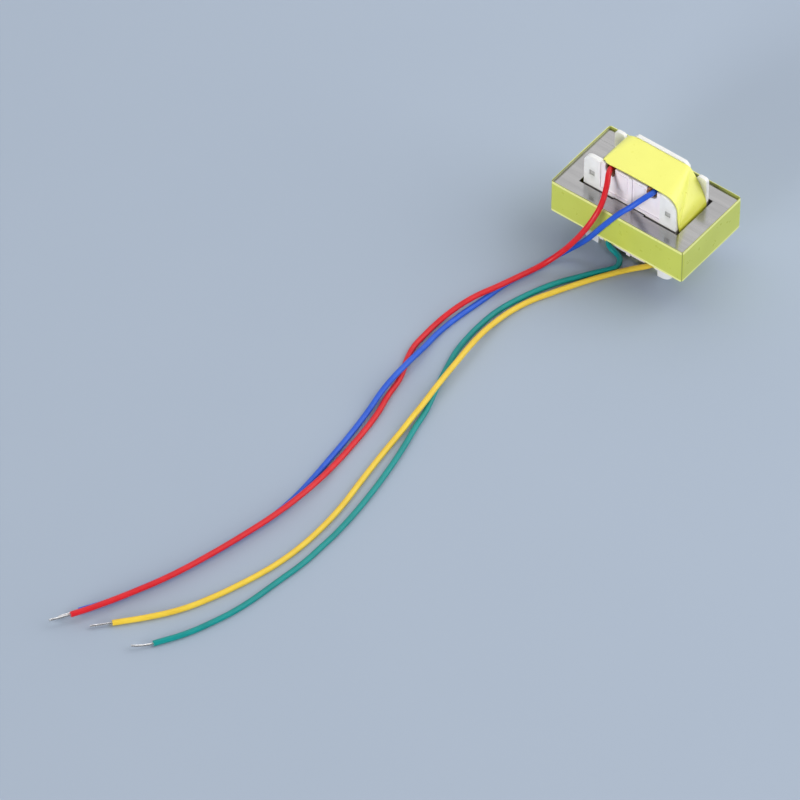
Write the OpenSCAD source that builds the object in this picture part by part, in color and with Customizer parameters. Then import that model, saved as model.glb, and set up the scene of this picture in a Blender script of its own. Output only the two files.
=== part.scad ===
// Microphone transformer with flying leads.
// An interleaved core of E and I plates lies flat. A moulded bobbin carries the windings on the core's
// tongue, with its flanges standing above and below the core. Tape wraps the coil and the core's edges.
// Millimetres, +Z up. The origin is under the middle of the core, on the surface that the flanges stand on.
// The leads leave the front flange, towards -Y.

/* [Core] */
// Length of the plates, along X
core_l = 27.6; // [26:0.1:30]
// Depth of the closed E and I pair, along Y
core_w = 16.4; // [15.6:0.1:18]
// Width of the middle leg that carries the coil
tongue_w = 6.4; // [5.6:0.1:7]
// Width of the bars that join the legs
yoke_w = 3.1; // [2.7:0.1:3.3]
// Width of each outer leg
leg_w = 3.4; // [3:0.1:3.8]
// Thickness of one plate with its oxide film
plate_t = 0.34; // [0.3:0.01:0.4]
// Number of plate layers, alternately front and rear
plate_layers = 18; // [14:2:20]
// Rounding of the plates' outer corners
plate_corner_r = 0.3; // [0.2:0.1:0.8]
// Oxide film between two plates
plate_film = 0.01; // [0.005:0.005:0.02]
// Butt gap between the E plate's legs and the I plate
butt_gap = 0.03; // [0.01:0.01:0.06]

/* [Bobbin] */
// Overall height of both flanges
flange_h = 19.8; // [19:0.1:21.5]
// Thickness of the front flange at its ears
front_flange_t = 0.9; // [0.8:0.1:1.1]
// Thickness of the rear flange
rear_flange_t = 0.7; // [0.5:0.1:0.9]
// Gap between a flange and the core's yoke
flange_end_gap = 0.4; // [0.3:0.1:0.6]
// Gap between a flange's side and the core's outer leg
flange_side_gap = 0.7; // [0.6:0.05:1.1]
// Wall of the tube that the wire is wound on
tube_wall = 0.7; // [0.5:0.1:0.9]
// Clearance between the tongue and the tube
tongue_clear = 0.15; // [0.05:0.05:0.25]
// Corner rounding of that tube's outside
tube_r = 0.4; // [0.2:0.1:0.6]
// Rounding of the front flange's left corners
left_corner_r = 1.6; // [1:0.1:2.4]
// Rounding of the front flange's right corners, which the tape laps over
right_corner_r = 2.8; // [1.5:0.1:3]
// Width of each ear beside the front flange's panel
ear_w = 3.4; // [3:0.1:3.8]
// Depth that the panel lies behind the ears
panel_recess = 0.3; // [0.15:0.05:0.4]
// Height from the core's middle at which that recess begins, above and below
panel_foot = 3.8; // [3.5:0.1:4.5]
// Step down from the ears to the panel's top edge
panel_top_step = 0.2; // [0.1:0.05:0.4]
// Step up from the ears to the panel's bottom edge
panel_bottom_step = 0.9; // [0.4:0.1:1.2]
// Width of the rib in the middle of the panel
rib_w = 0.8; // [0.5:0.1:1.2]
// Width of the raised pad on each half of the panel
pad_w = 2.3; // [1.6:0.1:2.6]
// Height of that pad
pad_h = 3.6; // [3:0.1:4.4]
// Thickness of that pad
pad_t = 0.15; // [0.05:0.05:0.15]
// Distance of that pad from the middle rib
pad_gap = 0.3; // [0.2:0.1:0.5]
// Drop of that pad below the panel's top edge
pad_drop = 0.5; // [0.2:0.1:1]
// Distance of the lead slots from the middle
slot_x = 4.4; // [4.2:0.1:4.7]
// Width of a lead slot
slot_w = 2.1; // [2:0.1:2.4]
// Depth of a lead slot below the flange's edge
slot_depth = 2.2; // [2:0.1:2.6]
// Side of the square pocket in each ear
pocket_w = 1.1; // [0.8:0.1:1.4]
// Depth of the pocket
pocket_depth = 0.3; // [0.2:0.05:0.4]
// Height of the pocket above the core's middle
pocket_rise = 6.2; // [5.5:0.1:7]
// Width of each ear of the rear flange
rear_ear_w = 2.1; // [1.6:0.1:2.4]
// Cut corners of the tab
tab_chamfer = 0.8; // [0.4:0.1:1.2]
// Width of the notch on each side of the tab
notch_w = 1.8; // [1.4:0.1:2.2]
// Depth of that notch below the tab's edge
notch_depth = 2.9; // [2.4:0.1:3.4]
// How far the rear ears stay below the tab
rear_ear_drop = 1.5; // [1.2:0.1:2]
// Corner rounding of the rear ears
rear_corner_r = 0.7; // [0.3:0.1:0.9]

/* [Windings] */
// Wound height of the primary on the tube
primary_build = 2.6; // [2.2:0.1:3]
// Corner rounding of the primary's outside
primary_r = 2; // [1.5:0.1:2.5]
// Film between the windings
insulation_t = 0.15; // [0.1:0.05:0.25]
// Film over the finished windings
cover_t = 0.1; // [0.05:0.05:0.2]
// Clearance between one wrap and the next
wrap_clear = 0.02; // [0.01:0.01:0.04]
// Room for the wire ends between flange and winding
winding_end_gap = 0.3; // [0.25:0.05:0.4]
// How far the finished windings stay inside the flange's sides
winding_side_gap = 0.4; // [0.35:0.05:0.6]
// Corner rounding of the finished windings
winding_r = 6.9; // [6.5:0.1:7.2]
// Least build of the secondary at its corners, which limits that rounding
winding_corner_build = 0.3; // [0.2:0.05:0.5]
// Enamelled wire, as it comes out to the joints
wire_d = 0.2; // [0.12:0.02:0.22]
// How far a wire end beds in its winding's side
wire_bed = 0.02; // [0.01:0.01:0.04]

/* [Tape] */
// Thickness of the tape round the core
core_tape_t = 0.2; // [0.1:0.05:0.3]
// How far that tape stands proud of the top and bottom plates
core_tape_rim = 0.44; // [0.2:0.02:0.6]
// Clearance between the core's edges and its tape
core_tape_fit = 0.02; // [0.01:0.01:0.04]
// Thickness of the tape round the coil
coil_tape_t = 0.2; // [0.1:0.05:0.25]
// Gap between the tape's front lap and the panel's top edge
coil_lap_gap = 0.12; // [0.08:0.02:0.3]
// Gap between the tape's front lap and the right ear's top edge
coil_ear_gap = 0.14; // [0.12:0.02:0.2]
// Distance of the lap's edge behind the front flange's face
coil_lap_back = 0.4; // [0.1:0.05:0.5]
// Width over which the front lap ends beside the left ear
coil_lap_end = 0.9; // [0.3:0.1:1.2]
// Drop of the coil tape below the rear tab's edge
coil_rear_drop = 0.2; // [0.1:0.05:0.4]
// Height of the coil tape's underside above the standing surface
coil_floor_gap = 0.2; // [0.1:0.05:0.25]
// Gap between the coil tape and the flanges' sides
coil_side_gap = 0.1; // [0.05:0.05:0.15]
// Extra swell at the middle of the coil
coil_swell = 0.15; // [0.05:0.05:0.25]
// Crown of the tape's top above the lap's left end
coil_crown = 0.35; // [0.15:0.05:0.5]
// Half width of the tape's flat top at the rear
coil_rear_flat = 3.2; // [2.8:0.1:4.5]
// Height from the core's middle up to which the tape's sides stand straight
coil_shoulder = 3.2; // [2.8:0.1:3.8]
// Fullness of the tape's slanted corners at the front, from 0 for a straight slant to 1
coil_front_full = 0.25; // [0.1:0.05:0.6]
// Fullness of the tape's corner over the right ear
coil_ear_full = 0.95; // [0.9:0.05:1]
// Fullness of the tape's corners at the rear
coil_rear_full = 0.85; // [0.6:0.05:1]
// Gap between the coil tape and a flange
coil_end_gap = 0.05; // [0.02:0.01:0.1]

/* [Leads] */
// Outside diameter of a lead's insulation
lead_d = 1; // [0.9:0.02:1.1]
// Diameter of the tinned strands
strand_d = 0.4; // [0.3:0.02:0.5]
// Length stripped and tinned at the end
strip_l = 3.8; // [3:0.1:5]
// Depth of the upper leads' middle below the flange's top edge
upper_lead_depth = 0.6; // [0.55:0.05:0.8]
// Height of the lower leads' middle above the standing surface
lower_lead_height = 1; // [0.9:0.05:1.1]
// Offset of the red lead from the middle of its slot
red_offset = 0; // [-0.4:0.1:0.4]
// Offset of the blue lead from the middle of its slot
blue_offset = 0.3; // [-0.4:0.1:0.4]
// Offset of the green lead from the middle of its slot
green_offset = -0.3; // [-0.4:0.1:0.4]
// Offset of the yellow lead from the middle of its slot
yellow_offset = 0.3; // [-0.4:0.1:0.4]
// Gap between a lead and the film that it lies on
lead_seat_gap = 0.05; // [0.02:0.01:0.1]
// Length of a soldered joint
joint_l = 1.6; // [1.2:0.1:2]
// Diameter of a soldered joint
joint_d = 0.9; // [0.6:0.02:0.96]

/* [Hidden] */
$fn = 48;
CUT = 1; // overshoot of a cutting shape

// Heights are measured from the middle of the core, which lies halfway up the flanges
half_h = flange_h / 2;
stack_h = plate_layers * plate_t;

// Bobbin, from the core that it fits
flange_w = core_l - 2 * leg_w - 2 * flange_side_gap;
half_w = flange_w / 2;
flange_face_y = core_w / 2 - yoke_w - flange_end_gap;
front_inner_y = -flange_face_y + front_flange_t;
rear_inner_y = flange_face_y - rear_flange_t;
bore_w = tongue_w + 2 * tongue_clear;
bore_h = stack_h + 2 * tongue_clear;
tube_w = bore_w + 2 * tube_wall;
tube_h = bore_h + 2 * tube_wall;
panel_half = half_w - ear_w;
tab_half = half_w - rear_ear_w - notch_w;

// Windings, from the tube outwards, with room for the leads above and below
winding_y0 = front_inner_y + winding_end_gap;
outer_winding_y0 = winding_y0 + wire_bed + wrap_clear;
cover_y0 = outer_winding_y0 + wire_bed + wrap_clear;
winding_y1 = rear_inner_y - winding_end_gap;
primary_w = tube_w + 2 * wrap_clear + 2 * primary_build;
primary_h = tube_h + 2 * wrap_clear + 2 * primary_build;
insulation_w = primary_w + 2 * wrap_clear + 2 * insulation_t;
insulation_h = primary_h + 2 * wrap_clear + 2 * insulation_t;
insulation_r = primary_r + wrap_clear + insulation_t;
lead_r = lead_d / 2;
cover_half_w = half_w - winding_side_gap;
cover_top = half_h - upper_lead_depth - lead_r - lead_seat_gap;
cover_bottom = half_h - lower_lead_height - lead_r - lead_seat_gap;
upper_lead_z = half_h - upper_lead_depth;
lower_lead_z = lower_lead_height - half_h;

// Where each lead leaves its soldered joint, behind the front flange
red_start = [red_offset - slot_x, front_inner_y, half_h + upper_lead_z];
blue_start = [blue_offset + slot_x, front_inner_y, half_h + upper_lead_z];
green_start = [green_offset - slot_x, front_inner_y, half_h + lower_lead_z];
yellow_start = [yellow_offset + slot_x, front_inner_y, half_h + lower_lead_z];

// How each lead first runs through its slot
red_out = [0.1, -0.8, 0];
blue_out = [0, -0.8, 0];
green_out = [0.4, -0.7, 0];
yellow_out = [-0.4, -0.7, 0];

// Routes of the leads' middle lines, from the soldered joint to the end of the insulation
red_route = [
    red_start, red_start + red_out, [-3.9, -5.6, 19], [-3.4, -6.5, 18.4], [-3, -7.5, 17.4],
    [-2.4, -9.4, 16], [-2.7, -11.2, 13.7], [-3.9, -12.7, 10.6], [-5, -13.3, 8.5], [-7.2, -14.2, 4.9],
    [-9.6, -16.5, 2.1], [-11.2, -20.2, 1.6], [-12.6, -24.2, 1.6], [-14.5, -29.4, 1.6],
    [-15.6, -33.7, 1.2], [-16.2, -37, 0.6], [-16.2, -40.5, 0.5], [-16, -43.5, 0.5], [-15.2, -46.3, 0.5],
    [-13.4, -50.7, 0.5], [-12.5, -55.2, 0.5], [-11.4, -59.5, 0.5], [-10.3, -67.9, 0.5],
    [-9.9, -72.9, 0.6], [-9.5, -77.9, 1.2], [-9.5, -82.6, 1.6], [-10.1, -87.8, 1.6], [-11.1, -93.3, 1.6],
    [-13.6, -103.7, 1.6], [-15.5, -109.9, 1.6], [-17.3, -114.5, 1.6], [-21.1, -122.8, 1.6],
    [-22.9, -126.1, 1.6]
];
blue_route = [
    blue_start, blue_start + blue_out, [4.4, -5.6, 19.1], [3.7, -6.9, 18.5], [2.6, -8, 17.2],
    [1.2, -8.8, 15.6], [-0.7, -9.2, 12.8], [-2.6, -9.4, 9.8], [-5.3, -9.8, 5.5], [-8.1, -10.8, 2.2],
    [-9.8, -12.8, 0.8], [-10.6, -15.8, 0.5], [-12.5, -21.8, 0.5], [-13.5, -28.3, 0.5], [-14.4, -34.3, 0.5],
    [-14.7, -38.6, 0.5], [-14.4, -42.6, 0.8], [-14.1, -45.4, 1.3], [-13.9, -48.8, 1.6], [-13.7, -52.6, 1.6],
    [-13.5, -55.8, 1.2], [-13, -59.3, 0.7], [-12.1, -65.6, 0.5], [-11.4, -72, 0.5], [-10.8, -78.2, 0.5],
    [-10.6, -82.9, 0.5], [-10.8, -87.5, 0.5], [-11.8, -93.1, 0.5], [-14.2, -103, 0.5],
    [-16.4, -109.9, 0.5], [-17.9, -113.6, 0.5], [-20.3, -119.2, 0.5], [-23, -123.9, 0.5]
];
green_route = [
    green_start, green_start + green_out, [-3.3, -5, 0.8], [-2.5, -5.1, 0.6], [-1.7, -5.3, 0.5],
    [-1, -5.7, 0.5], [-0.5, -6.4, 0.5], [-0.2, -7.2, 0.5], [-0.3, -8.1, 0.5], [-0.7, -8.8, 0.5],
    [-1.5, -10, 0.5], [-2.6, -11.6, 0.5],
    [-4.1, -14, 0.5], [-5.6, -16.4, 0.5], [-7.2, -19.7, 0.5], [-8.6, -23.5, 0.5], [-9.8, -27.9, 0.5],
    [-10.2, -32.2, 0.5], [-10.1, -36.4, 0.5], [-9.7, -39.9, 0.5], [-8.7, -43.7, 0.5], [-7.1, -48.9, 0.5],
    [-5.4, -53.9, 0.5], [-4.5, -57.9, 0.5], [-3.2, -63.1, 0.5], [-2.2, -67.9, 0.5], [-1, -75.6, 0.5],
    [-0.3, -83.9, 0.5], [-0.3, -88.3, 0.5], [-0.5, -93.5, 0.5], [-1.1, -97.9, 0.5], [-2.6, -107.3, 0.5],
    [-4.2, -112.5, 0.5], [-6, -116.9, 0.5], [-8.9, -121.9, 0.5]
];
yellow_route = [
    yellow_start, yellow_start + yellow_out, [3.4, -5.4, 0.8], [2.3, -6.5, 0.6], [1, -8.2, 0.5],
    [-0.4, -10.4, 0.5], [-1.8, -12.8, 0.5], [-3.2, -15.4, 0.5], [-5.2, -19.4, 0.5],
    [-6.8, -22.8, 0.5], [-8, -27, 0.6], [-8.4, -30.5, 0.8], [-8.4, -33.9, 1.2], [-8, -38.5, 1.6],
    [-7.6, -42.2, 1.6], [-7.2, -45.8, 1.6], [-6.7, -49.8, 1.6], [-6.1, -53.8, 1.6], [-5.9, -57, 1.2],
    [-5.7, -60.1, 0.7], [-5.1, -66.3, 0.5], [-4.2, -72.9, 0.5], [-3.2, -79.9, 0.5], [-2.9, -84.9, 0.5],
    [-3, -90, 0.5], [-3.6, -95, 0.5], [-4.5, -99, 0.5], [-5.8, -103.3, 0.5], [-7.6, -108.3, 0.5],
    [-10, -113.4, 0.5], [-13.1, -117.9, 0.5], [-17, -122.6, 0.5]
];
LEAD_SIDES = 8;

// Outline helpers

// Rectangle about the origin with round corners, as exact arcs
module round_rect(w, h, r) {
    square([w - 2 * r, h], center = true);
    square([w, h - 2 * r], center = true);
    for (x = [-1, 1], y = [-1, 1])
        translate([x * (w / 2 - r), y * (h / 2 - r)]) circle(r);
}

// Stands an outline of X and height up in the frame, from y0 to y1, about the core's middle
module standing(y0, y1) {
    translate([0, y1, half_h]) rotate([90, 0, 0]) linear_extrude(y1 - y0) children();
}

// A closed wrap of a given outside size and thickness, standing round the tongue
module wrap(y0, y1, w, h, r, t) {
    standing(y0, y1) difference() {
        round_rect(w, h, r);
        round_rect(w - 2 * t, h - 2 * t, max(r - t, tube_r));
    }
}

// Core

module e_plate() {
    leg_y = core_w - yoke_w - butt_gap;
    intersection() {
        round_rect(core_l, core_w, plate_corner_r);
        translate([0, -core_w / 2]) union() {
            translate([-core_l / 2, 0]) square([core_l, yoke_w]);
            translate([-tongue_w / 2, 0]) square([tongue_w, leg_y]);
            for (x = [-core_l / 2, core_l / 2 - leg_w])
                translate([x, 0]) square([leg_w, leg_y]);
        }
    }
}

module i_plate() {
    intersection() {
        round_rect(core_l, core_w, plate_corner_r);
        translate([-core_l / 2, core_w / 2 - yoke_w]) square([core_l, yoke_w]);
    }
}

// Every second layer of the stack, starting with the given one
module plates(first) {
    for (k = [first : 2 : plate_layers - 1])
        translate([0, 0, half_h - stack_h / 2 + k * plate_t])
            linear_extrude(plate_t - plate_film) children();
}

module e_plates_front() { color("silver") plates(1) e_plate(); }
module i_plates_rear() { color("silver") plates(1) i_plate(); }
module e_plates_rear() { color("lightgray") plates(0) mirror([0, 1]) e_plate(); }
module i_plates_front() { color("lightgray") plates(0) mirror([0, 1]) i_plate(); }

// Bobbin

// Slot for a lead, open at the upper edge of the outline
module slot_outline() {
    r = slot_w / 2;
    translate([0, half_h - slot_depth + r]) circle(r);
    translate([-r, half_h - slot_depth + r]) square([slot_w, slot_depth]);
}

module front_flange_outline() {
    difference() {
        union() {
            intersection() {
                round_rect(flange_w, flange_h, left_corner_r);
                translate([-half_w, -half_h]) square([half_w + rib_w / 2, flange_h]);
            }
            intersection() {
                round_rect(flange_w, flange_h, right_corner_r);
                translate([-rib_w / 2, -half_h]) square([half_w + rib_w / 2, flange_h]);
            }
        }
        translate([-panel_half, half_h - panel_top_step]) square([2 * panel_half, panel_top_step + CUT]);
        translate([-panel_half, -half_h - CUT]) square([2 * panel_half, panel_bottom_step + CUT]);
        for (x = [-slot_x, slot_x], side = [0, 1])
            translate([x, 0]) mirror([0, side]) slot_outline();
        square([bore_w, bore_h], center = true);
    }
}

// Raised pad on each half of the panel, cut away where it would reach into a slot
module pads_outline() {
    difference() {
        for (side = [0, 1]) mirror([side, 0])
            translate([rib_w / 2 + pad_gap, half_h - panel_top_step - pad_drop - pad_h])
                square([pad_w, pad_h]);
        for (x = [-slot_x, slot_x])
            translate([x, 0]) slot_outline();
    }
}

module front_flange() {
    panel_y = -flange_face_y + panel_recess;
    difference() {
        standing(-flange_face_y, front_inner_y) front_flange_outline();
        // Panel between the ears, on both sides of the middle rib, above and below the core
        for (side = [0, 1], z = [-CUT, half_h + panel_foot]) mirror([side, 0, 0])
            translate([rib_w / 2, -flange_face_y - CUT, z])
                cube([panel_half - rib_w / 2, panel_recess + CUT, half_h - panel_foot + CUT]);
        // Square pocket in each upper ear
        for (x = [-1, 1])
            translate([x * (half_w - ear_w / 2), -flange_face_y, half_h + pocket_rise])
                cube([pocket_w, 2 * pocket_depth, pocket_w], center = true);
    }
    standing(panel_y - pad_t, front_inner_y) pads_outline();
}

module rear_flange_outline() {
    notch_h = half_h - notch_depth;
    ear_h = half_h - rear_ear_drop;
    difference() {
        union() {
            square([flange_w, 2 * notch_h], center = true);
            polygon([
                [tab_half, half_h - tab_chamfer], [tab_half - tab_chamfer, half_h],
                [tab_chamfer - tab_half, half_h], [-tab_half, half_h - tab_chamfer],
                [-tab_half, tab_chamfer - half_h], [tab_chamfer - tab_half, -half_h],
                [tab_half - tab_chamfer, -half_h], [tab_half, tab_chamfer - half_h]
            ]);
            for (x = [-1, 1])
                translate([x * (half_w - rear_ear_w / 2), 0])
                    round_rect(rear_ear_w, 2 * ear_h, rear_corner_r);
        }
        square([bore_w, bore_h], center = true);
    }
}

module bobbin() {
    color("white") union() {
        wrap(-flange_face_y + panel_recess, flange_face_y, tube_w, tube_h, tube_r, tube_wall);
        front_flange();
        standing(rear_inner_y, flange_face_y) rear_flange_outline();
    }
}

// Windings

// Wire end along the front y of a winding, up or down to the joint; heights are from the core's middle
module wire_end(x, y, z0, z1) {
    translate([x, y - wire_d / 2 + wire_bed, half_h + min(z0, z1)]) cylinder(d = wire_d, h = abs(z1 - z0));
}

module primary_winding() {
    joint_low = upper_lead_z - joint_d / 2 - wrap_clear;
    color("peru") union() {
        wrap(winding_y0, winding_y1, primary_w, primary_h, primary_r, primary_build);
        for (start = [red_start, blue_start])
            wire_end(start.x, winding_y0, (primary_h - primary_build) / 2, joint_low);
    }
}

module winding_insulation() {
    color("khaki")
        wrap(outer_winding_y0, winding_y1, insulation_w, insulation_h, insulation_r, insulation_t);
}

// Largest rounding of an outer corner that leaves the given build outside an inner rounding, where the
// straight sides have the builds dx and dy
function corner_limit(inner_r, dx, dy, build) =
    let (s = dx + dy - build) inner_r + s + sqrt(max(0, s * s - dx * dx - dy * dy + build * build));

// Outline of the finished windings, grown by an even margin
module winding_outline(grow) {
    top = cover_top - cover_t - wrap_clear;
    bottom = cover_bottom - cover_t - wrap_clear;
    half = cover_half_w - cover_t - wrap_clear;
    inner_half = insulation_w / 2 + wrap_clear;
    inner_top = insulation_h / 2 + wrap_clear;
    limit = corner_limit(
        insulation_r + wrap_clear, half - inner_half, min(top, bottom) - inner_top, winding_corner_build
    );
    translate([0, (top - bottom) / 2])
        round_rect(2 * (half + grow), top + bottom + 2 * grow, min(winding_r, limit) + grow);
}

module secondary_winding() {
    joint_high = lower_lead_z + joint_d / 2 + wrap_clear;
    color("chocolate") union() {
        standing(outer_winding_y0, winding_y1) difference() {
            winding_outline(0);
            round_rect(
                insulation_w + 2 * wrap_clear, insulation_h + 2 * wrap_clear, insulation_r + wrap_clear
            );
        }
        for (start = [green_start, yellow_start])
            wire_end(start.x, outer_winding_y0, -insulation_h / 2 - wire_d, joint_high);
    }
}

module winding_cover() {
    color("lightyellow") standing(cover_y0, winding_y1) difference() {
        winding_outline(wrap_clear + cover_t);
        winding_outline(wrap_clear);
    }
}

// Coil tape: a loft from the front, where it laps over the panel and the right ear, to a rounder rear

CORNER_STEPS = 8;
COIL_STEPS = 6;
lap_left = panel_half - coil_end_gap;
lap_right = half_w - right_corner_r;
low_half = slot_x + slot_w / 2 + coil_end_gap;
coil_front_half = half_w + coil_side_gap + coil_tape_t;
lap_left_top = half_h - panel_top_step + coil_lap_gap + coil_tape_t;
lap_right_top = half_h + coil_ear_gap + coil_tape_t;
coil_front_top = lap_left_top + coil_crown;
coil_rear_top = half_h - coil_rear_drop;
// Places across the top from right to left, as shares of the half width, the last at the lap's end
top_marks = [0.67, 0.33, 0, -0.33, -0.67, coil_lap_end / lap_left - 1];

// A size at place s along the coil, from 0 at the front to 1 at the rear
function between(front, rear, s) = (1 - s) * front + s * rear;
function swell(s) = coil_swell * 4 * s * (1 - s);

// A corner of the outline from one end to the other, drawn between a straight slant and a full round
function corner(from, to, tip, full) =
    let (bend = (1 - full) * (from + to) / 2 + full * tip)
    [for (k = [0 : CORNER_STEPS]) let (u = k / CORNER_STEPS)
        (1 - u) * (1 - u) * from + 2 * u * (1 - u) * bend + u * u * to];

// Outline at place s, shrunk inwards by the tape's thickness or not, anticlockwise seen from the front
function coil_outline(s, shrink) =
    let (
        half = coil_front_half + swell(s) - shrink, low = coil_floor_gap + shrink - half_h,
        top = between(coil_front_top, coil_rear_top, s) + swell(s) - shrink,
        right = between(lap_right, coil_rear_flat, s) - shrink / 2,
        left = between(lap_left, coil_rear_flat, s) - shrink / 2,
        right_top = between(lap_right_top, coil_rear_top, s) + swell(s) - shrink,
        left_top = between(lap_left_top, coil_rear_top, s) + swell(s) - shrink,
        under = between(low_half, coil_rear_flat, s) - shrink / 2,
        right_up = between(half_h - right_corner_r, coil_shoulder, s), up = coil_shoulder,
        right_full = between(coil_ear_full, coil_rear_full, s),
        full = between(coil_front_full, coil_rear_full, s)
    )
    concat(
        corner([half, right_up], [right, right_top], [half, right_top], right_full),
        [for (m = top_marks) m > 0 ? [m * right, top - (top - right_top) * m * m]
                                   : [m * left, top - (top - left_top) * m * m]],
        corner([-left, left_top], [-half, up], [-half, left_top], full),
        corner([-half, -up], [-under, low], [-half, low], full),
        corner([under, low], [half, -up], [half, low], full)
    );

// The front edge of the tape: over the right ear and the panel along the lap, behind the flange elsewhere
lap_last = CORNER_STEPS + len(top_marks);
function front_edge_y(k) = k <= lap_last ? coil_lap_back - flange_face_y : front_inner_y + coil_end_gap;
rear_edge_y = rear_inner_y - coil_end_gap;

function coil_skin(shrink) = [
    for (j = [0 : COIL_STEPS]) let (s = j / COIL_STEPS, outline = coil_outline(s, shrink))
        for (k = [0 : len(outline) - 1])
            let (y = front_edge_y(k) + s * (rear_edge_y - front_edge_y(k)))
                [outline[k].x, y, half_h + outline[k].y]
];

// Two triangles for each cell between two rings of points
function cell(a, b, c, d) = [[a, b, c], [a, c, d]];

module coil_tape() {
    n = len(coil_outline(0, 0));
    inside = n * (COIL_STEPS + 1);
    last = n * COIL_STEPS;
    faces = concat(
        [for (j = [0 : COIL_STEPS - 1], k = [0 : n - 1]) let (a = j * n + k, b = j * n + (k + 1) % n)
            each cell(a, a + n, b + n, b)],
        [for (j = [0 : COIL_STEPS - 1], k = [0 : n - 1])
            let (a = inside + j * n + k, b = inside + j * n + (k + 1) % n) each cell(b, b + n, a + n, a)],
        [for (k = [0 : n - 1]) let (b = (k + 1) % n) each cell(k, b, inside + b, inside + k)],
        [for (k = [0 : n - 1]) let (a = last + k, b = last + (k + 1) % n)
            each cell(b, a, inside + a, inside + b)]
    );
    color("yellow") polyhedron(points = concat(coil_skin(0), coil_skin(coil_tape_t)), faces = faces);
}

module core_tape() {
    inner_l = core_l + 2 * core_tape_fit;
    inner_w = core_w + 2 * core_tape_fit;
    band = stack_h + 2 * core_tape_rim;
    color("yellowgreen") translate([0, 0, half_h - band / 2]) linear_extrude(band) difference() {
        round_rect(inner_l + 2 * core_tape_t, inner_w + 2 * core_tape_t, plate_corner_r + core_tape_t);
        round_rect(inner_l, inner_w, plate_corner_r);
    }
}

// Leads

function unit(v) = v / norm(v);
function heading(path, i) =
    i == 0 ? unit(path[1] - path[0])
    : i == len(path) - 1 ? unit(path[i] - path[i - 1])
    : unit(unit(path[i + 1] - path[i]) + unit(path[i] - path[i - 1]));

// A ring of points square to the route
function ring(p, t) =
    let (side = unit(cross(t, [0, 0, 1])), up = cross(side, t))
    [for (k = [0 : LEAD_SIDES - 1]) let (a = 360 * (k + 0.5) / LEAD_SIDES)
        p + lead_r * (cos(a) * side + sin(a) * up)];

module lead(path) {
    n = LEAD_SIDES;
    last = n * (len(path) - 1);
    points = [for (i = [0 : len(path) - 1]) each ring(path[i], heading(path, i))];
    faces = concat(
        [[for (k = [n - 1 : -1 : 0]) k]],
        [for (i = [0 : len(path) - 2], k = [0 : n - 1]) let (a = i * n + k, b = i * n + (k + 1) % n)
            each cell(a, b, b + n, a + n)],
        [[for (k = [0 : n - 1]) last + k]]
    );
    polyhedron(points = points, faces = faces);
}

// Turns the children's +Z along a direction, at a place
module along(p, d) {
    translate(p) rotate([0, acos(d.z), atan2(d.y, d.x)]) children();
}

module tinned_end(path) {
    last = len(path) - 1;
    color("gainsboro") along(path[last], heading(path, last)) cylinder(d = strand_d, h = strip_l);
}

// Wire end and strands under a drop of solder that thins out towards the coil
module solder_joint(path) {
    steps = 8;
    outline = [for (k = [0 : steps]) let (a = 180 * k / steps)
        [max(joint_d / 2 * sin(a), strand_d / 2 * (1 - k / steps)), joint_l * k / steps]];
    color("gray") along(path[0], -heading(path, 0)) rotate_extrude() polygon(concat([[0, 0]], outline));
}

module lead_red() { color("red") lead(red_route); }
module lead_blue() { color("royalblue") lead(blue_route); }
module lead_green() { color("lightseagreen") lead(green_route); }
module lead_yellow() { color("gold") lead(yellow_route); }

e_plates_front();
e_plates_rear();
i_plates_front();
i_plates_rear();
bobbin();
primary_winding();
winding_insulation();
secondary_winding();
winding_cover();
solder_joint(red_route);  // solder_joint_red
solder_joint(blue_route);  // solder_joint_blue
solder_joint(green_route);  // solder_joint_green
solder_joint(yellow_route);  // solder_joint_yellow
coil_tape();
core_tape();
lead_red();
lead_blue();
lead_green();
lead_yellow();
tinned_end(red_route);  // tinned_end_red
tinned_end(blue_route);  // tinned_end_blue
tinned_end(green_route);  // tinned_end_green
tinned_end(yellow_route);  // tinned_end_yellow
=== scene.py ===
import math

import bpy
from mathutils import Matrix, Vector


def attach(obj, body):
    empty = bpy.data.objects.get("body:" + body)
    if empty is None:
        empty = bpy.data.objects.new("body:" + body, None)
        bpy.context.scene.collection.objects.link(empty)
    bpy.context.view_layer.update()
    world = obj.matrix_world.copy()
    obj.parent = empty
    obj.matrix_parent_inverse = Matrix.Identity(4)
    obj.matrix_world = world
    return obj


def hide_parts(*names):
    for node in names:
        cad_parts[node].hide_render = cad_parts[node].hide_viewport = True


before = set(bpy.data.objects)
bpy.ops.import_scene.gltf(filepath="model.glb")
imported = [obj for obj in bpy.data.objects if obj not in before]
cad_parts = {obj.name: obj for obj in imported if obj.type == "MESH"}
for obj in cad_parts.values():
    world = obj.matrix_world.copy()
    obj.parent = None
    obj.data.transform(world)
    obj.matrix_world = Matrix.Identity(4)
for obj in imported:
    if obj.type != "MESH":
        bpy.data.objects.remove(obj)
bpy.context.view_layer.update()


# Core plates: E and I shaped sheets of silicon steel, stamped and stacked in alternate directions so that
# every butt gap lies between whole plates. Rolling leaves the sheet bright, with faint streaks along it.
NOISE_LOW, NOISE_HIGH = 0.3, 0.7
BROAD_DETAIL, FINE_DETAIL = 3, 4
FINE_OVER_BROAD = 5
# Places of the colour sockets on a mix node
MIX_UNDER, MIX_OVER, MIX_RESULT = 6, 7, 2

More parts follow.
